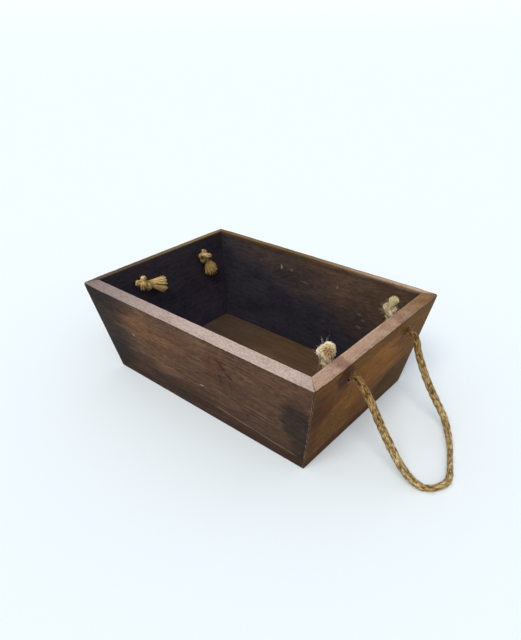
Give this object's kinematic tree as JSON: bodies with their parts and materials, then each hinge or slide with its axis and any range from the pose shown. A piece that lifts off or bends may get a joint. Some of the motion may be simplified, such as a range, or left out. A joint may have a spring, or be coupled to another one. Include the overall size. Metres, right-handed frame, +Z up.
{
  "type": "tapered wooden crate with rope handles",
  "caption": "Open-top wooden crate with flared mitred sides, a thin bottom panel and a knotted rope handle through each end.",
  "frame": {"origin": "middle of the crate's footprint, on the surface it stands on", "axes": "+X along the crate to its right-hand end, -Y towards its front long side, +Z up"},
  "size_m": [0.472, 0.208, 0.1133],
  "materials": {
    "long_boards": "dark walnut stain on softwood, satin, rim sanded back",
    "end_boards": "dark walnut stain on softwood, satin, rim sanded back",
    "bottom_panel": "stained thin plywood, satin",
    "brads": "dull wire",
    "handle_rope": "three-strand twisted jute, matt and hairy",
    "frayed_ends": "loose jute fibre, matt"
  },
  "bodies": {
    "crate": {"front_board": "long_boards", "back_board": "long_boards", "left_end_board": "end_boards", "right_end_board": "end_boards", "bottom_panel": "bottom_panel", "brads_front_left": "brads", "brads_front_right": "brads", "brads_back_left": "brads", "brads_back_right": "brads", "brads_bottom": "brads", "right_front_knot": "handle_rope", "right_back_knot": "handle_rope", "left_front_knot": "handle_rope", "left_back_knot": "handle_rope", "right_front_tail": "frayed_ends", "right_back_tail": "frayed_ends", "left_front_tail": "frayed_ends", "left_back_tail": "frayed_ends"},
    "right_handle": {"right_handle_rope": "handle_rope"},
    "left_handle": {"left_handle_rope": "handle_rope"}
  },
  "joints": [
    {"name": "right_handle_swing", "type": "hinge", "parent": "crate", "child": "right_handle", "pos_m": [0.15666, 0.0025, 0.08228], "axis": [0, -1, 0], "range_deg": [0, 134]},
    {"name": "left_handle_swing", "type": "hinge", "parent": "crate", "child": "left_handle", "pos_m": [-0.15666, 0.0025, 0.08228], "axis": [0, 1, 0], "range_deg": [0, 134]}
  ]
}
